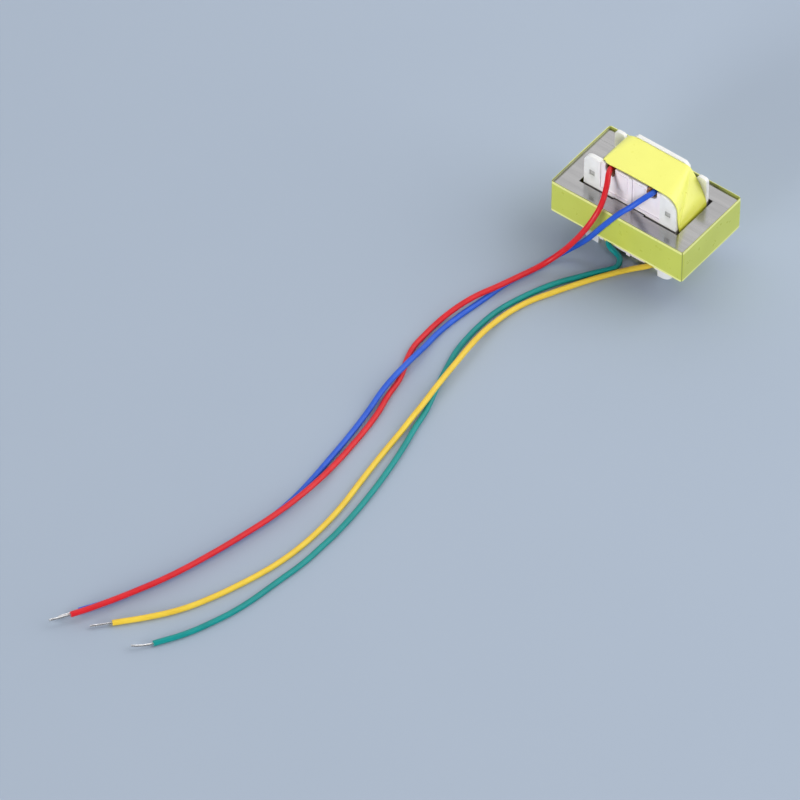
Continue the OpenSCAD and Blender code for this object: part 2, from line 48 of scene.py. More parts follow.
fine_variation = bpy.data.node_groups.new("fine_variation", "ShaderNodeTree")
for socket, kind in (
    ("Place", "NodeSocketVector"), ("Stretch", "NodeSocketVector"), ("Grain", "NodeSocketFloat"),
    ("Dark", "NodeSocketColor"), ("Light", "NodeSocketColor"),
    ("Smooth", "NodeSocketFloat"), ("Rough", "NodeSocketFloat"),
):
    fine_variation.interface.new_socket(socket, in_out="INPUT", socket_type=kind)
for socket, kind in (
    ("Colour", "NodeSocketColor"), ("Roughness", "NodeSocketFloat"), ("Height", "NodeSocketFloat"),
):
    fine_variation.interface.new_socket(socket, in_out="OUTPUT", socket_type=kind)

group_nodes = fine_variation.nodes
group_links = fine_variation.links
group_in = group_nodes.new("NodeGroupInput")
group_out = group_nodes.new("NodeGroupOutput")
stretched = group_nodes.new("ShaderNodeVectorMath")
stretched.operation = "MULTIPLY"
group_links.new(group_in.outputs["Place"], stretched.inputs[0])
group_links.new(group_in.outputs["Stretch"], stretched.inputs[1])
broad = group_nodes.new("ShaderNodeTexNoise")
broad.inputs["Detail"].default_value = BROAD_DETAIL
group_links.new(stretched.outputs[0], broad.inputs["Vector"])
group_links.new(group_in.outputs["Grain"], broad.inputs["Scale"])
finer = group_nodes.new("ShaderNodeMath")
finer.operation = "MULTIPLY"
finer.inputs[1].default_value = FINE_OVER_BROAD
group_links.new(group_in.outputs["Grain"], finer.inputs[0])
fine = group_nodes.new("ShaderNodeTexNoise")
fine.inputs["Detail"].default_value = FINE_DETAIL
group_links.new(stretched.outputs[0], fine.inputs["Vector"])
group_links.new(finer.outputs[0], fine.inputs["Scale"])
shade = group_nodes.new("ShaderNodeMapRange")
shade.inputs["From Min"].default_value = NOISE_LOW
shade.inputs["From Max"].default_value = NOISE_HIGH
group_links.new(broad.outputs[0], shade.inputs["Value"])
mixed = group_nodes.new("ShaderNodeMix")
mixed.data_type = "RGBA"
group_links.new(shade.outputs[0], mixed.inputs["Factor"])
group_links.new(group_in.outputs["Dark"], mixed.inputs[MIX_UNDER])
group_links.new(group_in.outputs["Light"], mixed.inputs[MIX_OVER])
group_links.new(mixed.outputs[MIX_RESULT], group_out.inputs["Colour"])
gloss = group_nodes.new("ShaderNodeMapRange")
gloss.inputs["From Min"].default_value = NOISE_LOW
gloss.inputs["From Max"].default_value = NOISE_HIGH
group_links.new(fine.outputs[0], gloss.inputs["Value"])
group_links.new(group_in.outputs["Smooth"], gloss.inputs["To Min"])
group_links.new(group_in.outputs["Rough"], gloss.inputs["To Max"])
group_links.new(gloss.outputs[0], group_out.inputs["Roughness"])
group_links.new(fine.outputs[0], group_out.inputs["Height"])


def surface(name, dark, light, grain, rough, relief, sockets, stretch=(1, 1, 1)):
    """A finish that varies finely between two colours and two roughnesses, with a relief in metres."""
    material = bpy.data.materials.new(name)
    material.use_nodes = True
    nodes = material.node_tree.nodes
    links = material.node_tree.links
    shader = nodes["Principled BSDF"]
    place = nodes.new("ShaderNodeTexCoord")
    varied = nodes.new("ShaderNodeGroup")
    varied.name = "varied"
    varied.node_tree = fine_variation
    links.new(place.outputs["Object"], varied.inputs["Place"])
    varied.inputs["Stretch"].default_value = stretch
    varied.inputs["Grain"].default_value = grain
    varied.inputs["Dark"].default_value = (*dark, 1)
    varied.inputs["Light"].default_value = (*light, 1)
    varied.inputs["Smooth"].default_value = rough[0]
    varied.inputs["Rough"].default_value = rough[1]
    links.new(varied.outputs["Colour"], shader.inputs["Base Color"])
    links.new(varied.outputs["Roughness"], shader.inputs["Roughness"])
    if relief:
        bump = nodes.new("ShaderNodeBump")
        bump.name = "relief"
        bump.inputs["Distance"].default_value = relief
        links.new(varied.outputs["Height"], bump.inputs["Height"])
        links.new(bump.outputs["Normal"], shader.inputs["Normal"])
    for socket, value in sockets.items():
        shader.inputs[socket].default_value = value
    return material


def dress(node, material):
    """Gives a solid of the frame its finish."""
    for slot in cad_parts[node].material_slots:
        slot.material = material


rolled_steel = surface(
    "rolled_steel", dark=(0.39, 0.387, 0.39), light=(0.468, 0.463, 0.463), grain=900, rough=(0.14, 0.2),
    relief=1e-6, sockets={"Metallic": 1.0}, stretch=(0.06, 1, 1),
)
for node in ("e_plates_front", "e_plates_rear", "i_plates_front", "i_plates_rear"):
    dress(node, rolled_steel)


# Bobbin: one moulding in natural nylon, with a slotted lead-out flange in front and a tabbed flange behind.
# The mould leaves softly broken edges. The thin panels of the front flange are tinted a little pink where
# the copper behind shows through, and are painted a little lighter as painted light against the shade under
# the tape's lap. The ears' small pockets and the bobbin inside the core are painted darker as painted
# shade.

# Lengths are in millimetres, and heights without a Z in their name start from the core's middle
MM = 0.001
CORE_MIDDLE = 9.9
PLATE_TOP = 3.06
WELD_DISTANCE = 0.001
EDGE_BREAK = 0.07
PANEL_HALF, PANEL_Y, PANEL_DEPTH = 6.3, -4.4, 0.5
POCKET_X, POCKET_UP, POCKET_HALF, POCKET_DEPTH = 8, 6.2, 0.55, 0.26
# How far the painted shade round each pocket sits below it, and how softly it fades across and up
POCKET_SHADE_DROP, POCKET_SHADE_SOFT_X, POCKET_SHADE_SOFT_Z = 0.4, 0.4, 0.7
# Softness of a mask's edges, and a low edge that shuts nothing out
SHARP, SOFT = 0.02, 0.1
FROM_MIDDLE = -1


def band_mask(material, axis, middle, low, high, soft):
    """A mask that is 1 where the distance from the middle, along one axis, is between low and high."""
    nodes = material.node_tree.nodes
    links = material.node_tree.links
    apart = nodes.new("ShaderNodeSeparateXYZ")
    links.new(nodes["Texture Coordinate"].outputs["Object"], apart.inputs[0])
    away = nodes.new("ShaderNodeMath")
    away.operation = "SUBTRACT"
    away.inputs[1].default_value = middle * MM
    links.new(apart.outputs[axis], away.inputs[0])
    distance = nodes.new("ShaderNodeMath")
    distance.operation = "ABSOLUTE"
    links.new(away.outputs[0], distance.inputs[0])
    masks = []
    for edge, side in ((low, -1), (high, 1)):
        step = nodes.new("ShaderNodeMapRange")
        step.inputs["From Min"].default_value = (edge + side * soft) * MM
        step.inputs["From Max"].default_value = (edge - side * soft) * MM
        links.new(distance.outputs[0], step.inputs["Value"])
        masks.append(step.outputs[0])
    return overlap(material, *masks)


def overlap(material, first, second):
    """A mask that is 1 where both masks are 1."""
    both = material.node_tree.nodes.new("ShaderNodeMath")
    both.operation = "MULTIPLY"
    material.node_tree.links.new(first, both.inputs[0])
    material.node_tree.links.new(second, both.inputs[1])
    return both.outputs[0]


def box_mask(material, *bands):
    """A mask that is 1 inside all of these bands, each with its axis, middle, low, high and softness."""
    inside, *others = [band_mask(material, *band) for band in bands]
    for mask in others:
        inside = overlap(material, inside, mask)
    return inside


def tint(material, mask, colour):
    """Lays a colour over the material's own colour where the mask is 1."""
    nodes = material.node_tree.nodes
    links = material.node_tree.links
    base = nodes["Principled BSDF"].inputs["Base Color"]
    laid = nodes.new("ShaderNodeMix")
    laid.data_type = "RGBA"
    laid.inputs[MIX_OVER].default_value = (*colour, 1)
    links.new(mask, laid.inputs["Factor"])
    links.new(base.links[0].from_socket, laid.inputs[MIX_UNDER])
    links.new(laid.outputs[MIX_RESULT], base)


def only(piece):
    """Makes this piece the one that the next operators act on."""
    bpy.ops.object.select_all(action="DESELECT")
    piece.select_set(True)
    bpy.context.view_layer.objects.active = piece


def add_modifier(piece, kind, **settings):
    """Adds a modifier with these settings and applies it."""
    only(piece)
    modifier = piece.modifiers.new(kind.lower(), kind)
    for name, value in settings.items():
        setattr(modifier, name, value)
    bpy.ops.object.modifier_apply(modifier=modifier.name)


def smooth_below(degrees):
    """Shades the active piece smooth across edges that bend less than this."""
    bpy.ops.object.shade_smooth_by_angle(angle=math.radians(degrees))


def fit(piece, material, slot, *nodes):
    """Gives a finished piece its finish and its place in the object."""
    piece.data.materials.clear()
    piece.data.materials.append(material)
    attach(piece, "root")
    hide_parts(*nodes)


bobbin = bpy.data.objects.new("bobbin_moulding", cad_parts["bobbin"].data.copy())
bpy.context.scene.collection.objects.link(bobbin)
only(bobbin)
bpy.ops.object.mode_set(mode="EDIT")
bpy.ops.mesh.select_all(action="SELECT")
bpy.ops.mesh.remove_doubles(threshold=WELD_DISTANCE * MM)
bpy.ops.mesh.dissolve_limited(angle_limit=math.radians(1))
bpy.ops.object.mode_set(mode="OBJECT")
add_modifier(
    bobbin, "BEVEL", width=EDGE_BREAK * MM, segments=2, limit_method="ANGLE", angle_limit=math.radians(35)
)
smooth_below(40)

nylon = surface(
    "natural_nylon", dark=(0.86, 0.86, 0.845), light=(0.92, 0.92, 0.905), grain=700, rough=(0.36, 0.5),
    relief=5e-6,
    sockets={"Subsurface Weight": 0.12, "Subsurface Radius": (1, 0.9, 0.8), "Subsurface Scale": 0.6 * MM},
)
front_skin = ("Y", PANEL_Y, FROM_MIDDLE, PANEL_DEPTH, SOFT)
pocket_sides = (POCKET_X - POCKET_HALF, POCKET_X + POCKET_HALF)
# Painted light: the panels are pink from the copper behind, and painted lighter against the shade under the
# lap
on_panel = box_mask(nylon, ("X", 0, FROM_MIDDLE, PANEL_HALF, SOFT), front_skin)
tint(nylon, on_panel, (0.95, 0.885, 0.925))
# Painted shade: a soft grey round each pocket in the ears, set a little below it
painted_shade_round_pocket = box_mask(
    nylon, ("X", 0, *pocket_sides, POCKET_SHADE_SOFT_X), front_skin,
    ("Z", CORE_MIDDLE + POCKET_UP - POCKET_SHADE_DROP, FROM_MIDDLE, 2 * POCKET_HALF, POCKET_SHADE_SOFT_Z),
)
tint(nylon, painted_shade_round_pocket, (0.74, 0.74, 0.70))
# Painted shade: the inside of each pocket darker still
painted_shade_in_pocket = box_mask(
    nylon, ("X", 0, *pocket_sides, SHARP), ("Y", PANEL_Y, FROM_MIDDLE, POCKET_DEPTH, SHARP),
    ("Z", CORE_MIDDLE + POCKET_UP, FROM_MIDDLE, POCKET_HALF, SHARP),
)
tint(nylon, painted_shade_in_pocket, (0.47, 0.47, 0.45))
# Painted shade: the bobbin is dark inside the core's window, where the plates keep the light out
painted_shade_inside_core = band_mask(nylon, "Z", CORE_MIDDLE, FROM_MIDDLE, PLATE_TOP, SOFT / 2)
tint(nylon, painted_shade_inside_core, (0.36, 0.33, 0.32))
fit(bobbin, nylon, "bobbin_nylon", "bobbin")


# Windings: two coils of fine enamelled copper wire on the bobbin's tube, the primary inside and the
# secondary outside. The turns lie side by side round the tongue, so they show as close lines across Y.
TURN_PITCH, TURN_RELIEF, TURN_UNEVEN = 0.2, 0.05, 0.6
# A wave texture of scale 1 goes through this many radians in a metre
WAVE_RATE = 20

enamelled_wire = surface(
    "enamelled_wire", dark=(0.30, 0.10, 0.035), light=(0.62, 0.27, 0.11), grain=1500, rough=(0.25, 0.4),
    relief=8e-6, sockets={"Metallic": 0.55, "Coat Weight": 0.4},
)
nodes = enamelled_wire.node_tree.nodes
links = enamelled_wire.node_tree.links
turns = nodes.new("ShaderNodeTexWave")
turns.bands_direction = "Y"
turns.inputs["Scale"].default_value = 2 * math.pi / (WAVE_RATE * TURN_PITCH * MM)
turns.inputs["Distortion"].default_value = TURN_UNEVEN
links.new(nodes["Texture Coordinate"].outputs["Object"], turns.inputs["Vector"])
turn_relief = nodes.new("ShaderNodeBump")
turn_relief.inputs["Distance"].default_value = TURN_RELIEF * MM
links.new(turns.outputs["Fac"], turn_relief.inputs["Height"])
links.new(nodes["relief"].outputs["Normal"], turn_relief.inputs["Normal"])
links.new(turn_relief.outputs["Normal"], nodes["Principled BSDF"].inputs["Normal"])
for node in ("primary_winding", "secondary_winding"):
    dress(node, enamelled_wire)


# Films: one turn of thin polyester between the windings and one over them, which the joints lie on.
# Both are wound on by hand and are slightly amber where the wire shows through.
amber_film = surface(
    "amber_film", dark=(0.52, 0.36, 0.16), light=(0.74, 0.58, 0.30), grain=500, rough=(0.12, 0.25),
    relief=5e-6, sockets={"Coat Weight": 0.3},
)
for node in ("winding_insulation", "winding_cover"):
    dress(node, amber_film)


# Soldered joints: each wire end is wound a few turns on a lead's bared strands and soldered, which leaves
# a bright drop. The turns of copper still show round its middle, and at the top the spare wire is doubled
# back in the slot beside the lead.
JOINT_LENGTH = 1.6
WRAP_RADIUS = 0.43
WRAP_WIRE = 0.09
WRAP_PITCH = 0.17
WRAP_TURNS = 3
WRAP_STEPS, WRAP_SIDES = 20, 8
# Where each joint meets its lead, and the way that the lead sets off
STARTS = {
    "red": ((-4.4, -3.8, 19.2), (0.1, -0.8, 0)),
    "blue": ((4.7, -3.8, 19.2), (0, -0.8, 0)),
    "green": ((-4.7, -3.8, 1), (0.4, -0.7, 0)),
    "yellow": ((4.7, -3.8, 1), (-0.4, -0.7, 0)),
}
# Spare wire from its joint's place on, and the shift of its second run
TAIL_WIRE = 0.18
TAIL_SHIFT = Vector((-0.21, 0, 0.25))
TAILS = {
    "red": [
        (0.2, 0.5, 0), (0.65, -0.1, -0.4), (0.75, -0.6, -0.8), (0.65, -0.7, -1.4), (0.4, -0.7, -1.3),
        (0.4, -0.6, -1), (0.3, -0.2, -0.8),
    ],
    "blue": [
        (-0.2, 0.5, 0.1), (-0.75, -0.2, 0.1), (-0.95, -0.7, -0.2), (-0.9, -0.75, -0.9), (-0.7, -0.74, -0.9),
        (-0.7, -0.7, -0.4), (-0.75, -0.2, -0.1),
    ],
}


def smooth_curve(name, routes):
    """A curve object with a smooth line through each route's points, which are in millimetres."""
    curve = bpy.data.curves.new(name, "CURVE")
    curve.dimensions = "3D"
    curve.resolution_u = 6
    for route in routes:
        spline = curve.splines.new("BEZIER")
        spline.bezier_points.add(len(route) - 1)
        for point, place in zip(spline.bezier_points, route):
            point.co = Vector(place) * MM
            point.handle_left_type = point.handle_right_type = "AUTO"
    piece = bpy.data.objects.new(name, curve)
    bpy.context.scene.collection.objects.link(piece)
    return piece


def thicken(piece, radius, roundness):
    """Makes a curve object a closed mesh of round wire."""
    piece.data.bevel_depth = radius * MM
    piece.data.bevel_resolution = roundness
    piece.data.use_fill_caps = True
    only(piece)
    bpy.ops.object.convert(target="MESH")
    bpy.ops.object.mode_set(mode="EDIT")
    bpy.ops.mesh.select_all(action="SELECT")
    bpy.ops.mesh.remove_doubles(threshold=WELD_DISTANCE * MM)
    bpy.ops.object.mode_set(mode="OBJECT")
    smooth_below(50)
    return bpy.context.object


solder = surface(
    "tin_solder", dark=(0.55, 0.55, 0.56), light=(0.80, 0.80, 0.80), grain=1800, rough=(0.18, 0.38),
    relief=1.2e-5, sockets={"Metallic": 1.0},
)
for colour, (start, out) in STARTS.items():
    dress("solder_joint_" + colour, solder)
    bpy.ops.object.select_all(action="DESELECT")
    bpy.ops.mesh.primitive_circle_add(
        vertices=WRAP_SIDES, radius=WRAP_WIRE / 2 * MM, rotation=(math.pi / 2, 0, 0),
        location=(WRAP_RADIUS * MM, 0, 0),
    )
    wire_wrap = bpy.context.object
    wire_wrap.name = "wire_wrap_" + colour
    bpy.ops.object.transform_apply(location=True, rotation=True)
    add_modifier(
        wire_wrap, "SCREW", axis="Z", angle=WRAP_TURNS * 2 * math.pi,
        screw_offset=WRAP_TURNS * WRAP_PITCH * MM, steps=WRAP_STEPS * WRAP_TURNS,
        render_steps=WRAP_STEPS * WRAP_TURNS, use_normal_calculate=True,
    )
    bpy.ops.object.mode_set(mode="EDIT")
    bpy.ops.mesh.select_all(action="DESELECT")
    bpy.ops.mesh.select_non_manifold()
    bpy.ops.mesh.fill_holes(sides=WRAP_SIDES)
    bpy.ops.mesh.select_all(action="SELECT")
    bpy.ops.mesh.normals_make_consistent(inside=False)
    bpy.ops.object.mode_set(mode="OBJECT")
    into_coil = -Vector(out).normalized()
    middle = Vector(start) + into_coil * (JOINT_LENGTH / 2 - WRAP_TURNS * WRAP_PITCH / 2)
    turned = into_coil.to_track_quat("Z", "X").to_matrix().to_4x4()
    wire_wrap.matrix_world = Matrix.Translation(middle * MM) @ turned
    bpy.ops.object.transform_apply(location=True, rotation=True)
    smooth_below(50)
    fit(wire_wrap, enamelled_wire, "enamelled_wire")
for colour, points in TAILS.items():
    start = Vector(STARTS[colour][0])
    runs = [[start + Vector(p) + TAIL_SHIFT * run for p in points] for run in range(2)]
    wire_tail = thicken(smooth_curve("wire_tail_" + colour, runs), TAIL_WIRE / 2, roundness=2)
    fit(wire_tail, enamelled_wire, "enamelled_wire")


# Coil tape: bright yellow polyester tape drawn round the finished coil. In front it laps over the panel
# and the square right ear. Behind, it lies on a slant below the tab, so it folds in a crease across the
# right side.
TAPE_THICKNESS = 0.2
TAPE_ROWS = 17
LAP_Y, BEHIND_FLANGE_Y, REAR_EDGE_Y = -4.3, -3.75, 3.95
SIDE_HALF, SIDE_UP, UNDERSIDE = 10.0, 3.2, -9.7
# The outline in front
FRONT_RIGHT = {"flat": 6.9, "top": 10.24, "up": 7.1}
FRONT_LEFT = {"flat": 6.0, "top": 10.02, "tip": 6.35}
CROWN_TOP, CREASE_FOOT, LOW_FLAT = 10.37, 3.5, 5.5
FRONT_CORNER_FULL, FRONT_SHOULDER, FRONT_LOW_FULL = 0.95, 0.06, 0.25
# The outline behind
REAR_TOP, REAR_RIGHT_FLAT, REAR_LEFT_FLAT, REAR_LEFT_TIP = 9.7, 5.4, 4.4, 6.55
REAR_SLANT_TOP, REAR_SLANT_BEND, REAR_SLANT_FOOT = (6.4, 9.46), (9.3, 6.0), (9.85, 3.2)
REAR_TOP_BEND = (6.0, REAR_TOP)
REAR_LOW_FLAT, REAR_SHOULDER, REAR_LOW_FULL = 3.2, 0.2, 0.85
# Points in each stretch of the outline, as many behind as in front
SIDE_STEPS, SLANT_STEPS, UPRIGHT_STEPS, CORNER_STEPS, TOP_STEPS, UNDER_STEPS = 10, 10, 8, 16, 24, 12
# Where the front edge comes forward to the lap, on the right, on top and at the lap's left end
RIGHT_FROM, LAP_RISE_FROM, LAP_RISE_TO = 6, 1.5, 7.0
TOP_FROM, LAP_END_FROM, LAP_END_TO = 6, -5.1, -6.2
# Fullness, and the rates round the outline and along the coil of its two slight waves
SWELL, WAVE = 0.06, 0.012
WAVE_RATES = ((0.9, 5), (2.3, -3))
# The outer end, which covers the underside and climbs the left side
COIL_END_UNDER_Z, COIL_END_RIGHT_X, COIL_END_TOP_Z = 1.2, 8, 12.4
COIL_END_LIFT, COIL_END_THICKNESS = 0.07, 0.06
FOOT_SHADE_UP, FOOT_SHADE_SOFT = 1.4, 0.9


def blend(front, rear, s):
    """A size at place s along the coil, from 0 at the front to 1 at the rear."""
    return front + (rear - front) * s


def ease(low, high, value):
    """A smooth step from 0 at low to 1 at high."""
    u = min(1, max(0, (value - low) / (high - low)))
    return u * u * (3 - 2 * u)


def corner(start, end, tip, full, steps):
    """Points from start up to, but without, end, between a straight slant and a full round."""
    start, end, tip = Vector(start), Vector(end), Vector(tip)
    bend = (start + end) / 2 * (1 - full) + tip * full
    shares = [k / steps for k in range(steps)]
    return [start * (1 - u) ** 2 + bend * 2 * u * (1 - u) + end * u * u for u in shares]


def straight(start, end, steps):
    """Points from start up to, but without, end, on a straight line."""
    return corner(start, end, (Vector(start) + Vector(end)) / 2, 1, steps)


def coil_top(right, right_top, left, left_top, top):
    """Points along the top from right to left, highest in the middle."""
    marks = [1 - 2 * k / TOP_STEPS for k in range(TOP_STEPS)]
    return [
        Vector((m * right, top - (top - right_top) * m * m)) if m > 0
        else Vector((m * left, top - (top - left_top) * m * m)) for m in marks
    ]


def left_and_under(left, left_top, tip, shoulder, under, full):
    """Points from the top's left end down the left slant, along the underside and back to the right."""
    foot = Vector((-SIDE_HALF, SIDE_UP))
    low_left, low_right = (-SIDE_HALF, -SIDE_UP), (SIDE_HALF, -SIDE_UP)
    tip = Vector((-tip, left_top))
    shoulder = tip.lerp(foot, shoulder)
    points = corner((-left, left_top), shoulder, tip, 1, SLANT_STEPS)
    points += straight(shoulder, foot, SIDE_STEPS)
    points += straight(foot, low_left, UPRIGHT_STEPS)
    points += corner(low_left, (-under, UNDERSIDE), (-SIDE_HALF, UNDERSIDE), full, CORNER_STEPS)
    points += straight((-under, UNDERSIDE), (under, UNDERSIDE), UNDER_STEPS)
    points += corner((under, UNDERSIDE), low_right, (SIDE_HALF, UNDERSIDE), full, CORNER_STEPS)
    return points


def front_outline():
    """The tape's outline in front, anticlockwise from the foot of its right side."""
    flat, top, up = FRONT_RIGHT["flat"], FRONT_RIGHT["top"], FRONT_RIGHT["up"]
    points = straight((SIDE_HALF, -SIDE_UP), (SIDE_HALF, SIDE_UP), SIDE_STEPS)
    points += straight((SIDE_HALF, SIDE_UP), (SIDE_HALF, CREASE_FOOT), SLANT_STEPS)
    points += straight((SIDE_HALF, CREASE_FOOT), (SIDE_HALF, up), UPRIGHT_STEPS)
    points += corner((SIDE_HALF, up), (flat, top), (SIDE_HALF, top), FRONT_CORNER_FULL, CORNER_STEPS)
    points += coil_top(flat, top, FRONT_LEFT["flat"], FRONT_LEFT["top"], CROWN_TOP)
    points += left_and_under(
        FRONT_LEFT["flat"], FRONT_LEFT["top"], FRONT_LEFT["tip"], FRONT_SHOULDER, LOW_FLAT, FRONT_LOW_FULL
    )
    return points


def rear_outline():
    """The tape's outline behind, with as many points in each stretch as in front."""
    flat_end = (REAR_RIGHT_FLAT, REAR_TOP)
    points = straight((SIDE_HALF, -SIDE_UP), REAR_SLANT_FOOT, SIDE_STEPS)
    points += corner(REAR_SLANT_FOOT, REAR_SLANT_TOP, REAR_SLANT_BEND, 1, SLANT_STEPS)
    points += corner(REAR_SLANT_TOP, flat_end, REAR_TOP_BEND, 1, UPRIGHT_STEPS + CORNER_STEPS)
    points += coil_top(REAR_RIGHT_FLAT, REAR_TOP, REAR_LEFT_FLAT, REAR_TOP, REAR_TOP)
    points += left_and_under(
        REAR_LEFT_FLAT, REAR_TOP, REAR_LEFT_TIP, REAR_SHOULDER, REAR_LOW_FLAT, REAR_LOW_FULL
    )
    return points


def lap_share(point):
    """How far the front edge lies forward at a point: 1 on the lap, 0 behind the flange."""
    x, height = point
    if x > RIGHT_FROM:
        return ease(LAP_RISE_FROM, LAP_RISE_TO, height)
    if x > 0:
        return 1 if height > 0 else 0
    return ease(LAP_END_TO, LAP_END_FROM, x) if height > TOP_FROM else 0


def uneven(points, s):
    """The outline, fuller in the middle of its length and slightly uneven."""
    count = len(points)
    along = 0
    moved = []
    for k, p in enumerate(points):
        along += (p - points[k - 1]).length if k else 0
        way = points[(k + 1) % count] - points[k - 1]
        outward = Vector((way.y, -way.x)).normalized()
        wave = WAVE
        for round_rate, along_rate in WAVE_RATES:
            wave *= math.sin(round_rate * along + along_rate * s)
        moved.append(p + outward * (SWELL * 4 * s * (1 - s) + wave))
    return moved


def tube_from_rings(name, rings):
    """An open tube of quads through rings of points, all of one count that four divides."""
    count = len(rings[0])
    bpy.ops.object.select_all(action="DESELECT")
    bpy.ops.mesh.primitive_circle_add(vertices=count, radius=1)
    tube = bpy.context.object
    tube.name = name
    bpy.ops.object.mode_set(mode="EDIT")
    bpy.ops.mesh.select_all(action="SELECT")
    for _ in rings[1:]:
        bpy.ops.mesh.extrude_region_move(TRANSFORM_OT_translate={"value": (0, 0, 1)})
    bpy.ops.object.mode_set(mode="OBJECT")
    for vertex in tube.data.vertices:
        k = round(math.atan2(vertex.co.y, vertex.co.x) / (2 * math.pi) * count) % count
        vertex.co = Vector(rings[round(vertex.co.z)][k]) * MM
    bpy.ops.object.mode_set(mode="EDIT")
    bpy.ops.mesh.select_all(action="SELECT")
    bpy.ops.mesh.normals_make_consistent(inside=False)
    bpy.ops.object.mode_set(mode="OBJECT")
    return tube


def pick_faces(piece, wanted):
    """Opens the active piece for editing, with only the wanted faces selected."""
    bpy.ops.object.mode_set(mode="EDIT")
    bpy.ops.mesh.select_all(action="DESELECT")
    bpy.ops.object.mode_set(mode="OBJECT")
    for face in piece.data.polygons:
        face.select = wanted(face.center / MM)
    bpy.ops.object.mode_set(mode="EDIT")


def add_outer_end(tube, on_strip, lift, thickness):
    """Lays the tape's outer end over the tube, on the faces that on_strip picks, and joins it on."""
    pick_faces(tube, on_strip)
    bpy.ops.mesh.duplicate_move()
    bpy.ops.mesh.separate(type="SELECTED")
    bpy.ops.object.mode_set(mode="OBJECT")
    strip = next(piece for piece in bpy.context.selected_objects if piece != tube)
    normals = [vertex.normal.copy() for vertex in strip.data.vertices]
    for vertex, normal in zip(strip.data.vertices, normals):
        vertex.co += normal * lift * MM
    add_modifier(strip, "SOLIDIFY", thickness=thickness * MM, offset=-1)
    add_modifier(tube, "SOLIDIFY", thickness=TAPE_THICKNESS * MM, offset=-1)
    only(tube)
    strip.select_set(True)
    bpy.ops.object.join()


def on_coil_end(place):
    """Whether the outer end lies on a face with its middle here."""
    if place.x < 0:
        return place.z < COIL_END_TOP_Z
    return place.x < COIL_END_RIGHT_X and place.z < COIL_END_UNDER_Z


front, rear = front_outline(), rear_outline()
rings = []
for j in range(TAPE_ROWS):
    s = j / (TAPE_ROWS - 1)
    ring = []
    for k, p in enumerate(uneven([blend(a, b, s) for a, b in zip(front, rear)], s)):
        edge = blend(BEHIND_FLANGE_Y, LAP_Y, lap_share(front[k]))
        ring.append((p.x, blend(edge, REAR_EDGE_Y, s), CORE_MIDDLE + p.y))
    rings.append(ring)
coil_tape = tube_from_rings("coil_tape_wrap", rings)
add_outer_end(coil_tape, on_coil_end, COIL_END_LIFT, COIL_END_THICKNESS)
smooth_below(14)
coil_film = surface(
    "yellow_coil_tape", dark=(0.925, 0.92, 0.18), light=(0.95, 0.945, 0.195), grain=220, rough=(0.27, 0.32),
    relief=0, sockets={"Coat Weight": 0.15},
)
near_plates = band_mask(
    coil_film, "Z", CORE_MIDDLE, FROM_MIDDLE, PLATE_TOP + FOOT_SHADE_UP, FOOT_SHADE_SOFT
)
tint(coil_film, near_plates, (0.70, 0.69, 0.07))
fit(coil_tape, coil_film, "coil_tape_film", "coil_tape")


# Core tape: a band of the same polyester tape round the plates' edges, which look through it and make it
# lime. It stands proud of the plates as a thin bright rim, and its outer end laps the rear left corner.
BAND_L, BAND_W, BAND_H = 28.0, 16.8, 7.0
BAND_R = 0.5
BAND_ROWS = 11
ARC_STEPS, LONG_STEPS, SHORT_STEPS = 8, 32, 20
LONGEST_ARC_STEP = 1
# The edges lean in from a share of the height on, the sides ripple, and the edges wave in height
EDGE_LEAN, EDGE_FROM = 0.04, 0.86
RIPPLE, RIPPLE_COUNT, RIPPLE_DRIFT = 0.015, 7, 2
EDGE_WAVES = ((0.025, 5, 0), (0.015, 13, 1))
# The outer end: where the left side and the rear begin, where it stops on each, and its tinted runs
LEFT_SIDE_X, REAR_SIDE_Y = -13, 7.5
BAND_END_Y, BAND_END_X = -3.5, 5
END_RUN_LEFT, END_RUN_REAR, END_SKIN = 10, 15, 0.3
BAND_END_LIFT, BAND_END_THICKNESS = 0.06, 0.05
RIM_SOFT, INNER_SOFT = 0.08, 0.03


def band_outline():
    """The band's outline, anticlockwise from the middle of its right side."""
    x, y = BAND_L / 2 - BAND_R, BAND_W / 2 - BAND_R
    points = []
    for k, (cx, cy) in enumerate(((x, y), (-x, y), (-x, -y), (x, -y))):
        for step in range(ARC_STEPS + 1):
            angle = math.radians(90 * k + 90 * step / ARC_STEPS)
            points.append(Vector((cx + BAND_R * math.cos(angle), cy + BAND_R * math.sin(angle))))
    dense = []
    for a, b in zip(points, points[1:] + points[:1]):
        steps = 1
        if abs(b.x - a.x) > LONGEST_ARC_STEP:
            steps = LONG_STEPS
        elif abs(b.y - a.y) > LONGEST_ARC_STEP:
            steps = SHORT_STEPS
        dense += straight(a, b, steps)
    return dense


def on_band_end(place):
    """Whether the outer end lies on a face with its middle here."""
    on_left = place.x < LEFT_SIDE_X and place.y > BAND_END_Y
    on_rear = place.y > REAR_SIDE_Y and place.x < BAND_END_X
    return on_left or on_rear


outline = band_outline()
rings = []
for j in range(BAND_ROWS):
    height = -1 + 2 * j / (BAND_ROWS - 1)
    ring = []
    for k, p in enumerate(outline):
        along = k / len(outline) * 2 * math.pi
        lean = -EDGE_LEAN * ease(EDGE_FROM, 1, abs(height))
        lean += RIPPLE * math.sin(RIPPLE_COUNT * along + RIPPLE_DRIFT * height)
        wave = sum(size * math.sin(count * along + turn) for size, count, turn in EDGE_WAVES)
        outward = Vector((p.x / BAND_L, p.y / BAND_W)).normalized()
        ring.append((
            p.x + outward.x * lean, p.y + outward.y * lean,
            CORE_MIDDLE + height * BAND_H / 2 + wave * abs(height),
        ))
    rings.append(ring)
core_tape = tube_from_rings("core_tape_band", rings)
add_outer_end(core_tape, on_band_end, BAND_END_LIFT, BAND_END_THICKNESS)
smooth_below(35)
band_film = surface(
    "lime_core_tape", dark=(0.555, 0.615, 0.084), light=(0.60, 0.665, 0.10), grain=150, rough=(0.27, 0.32),
    relief=0, sockets={"Coat Weight": 0.15},
)
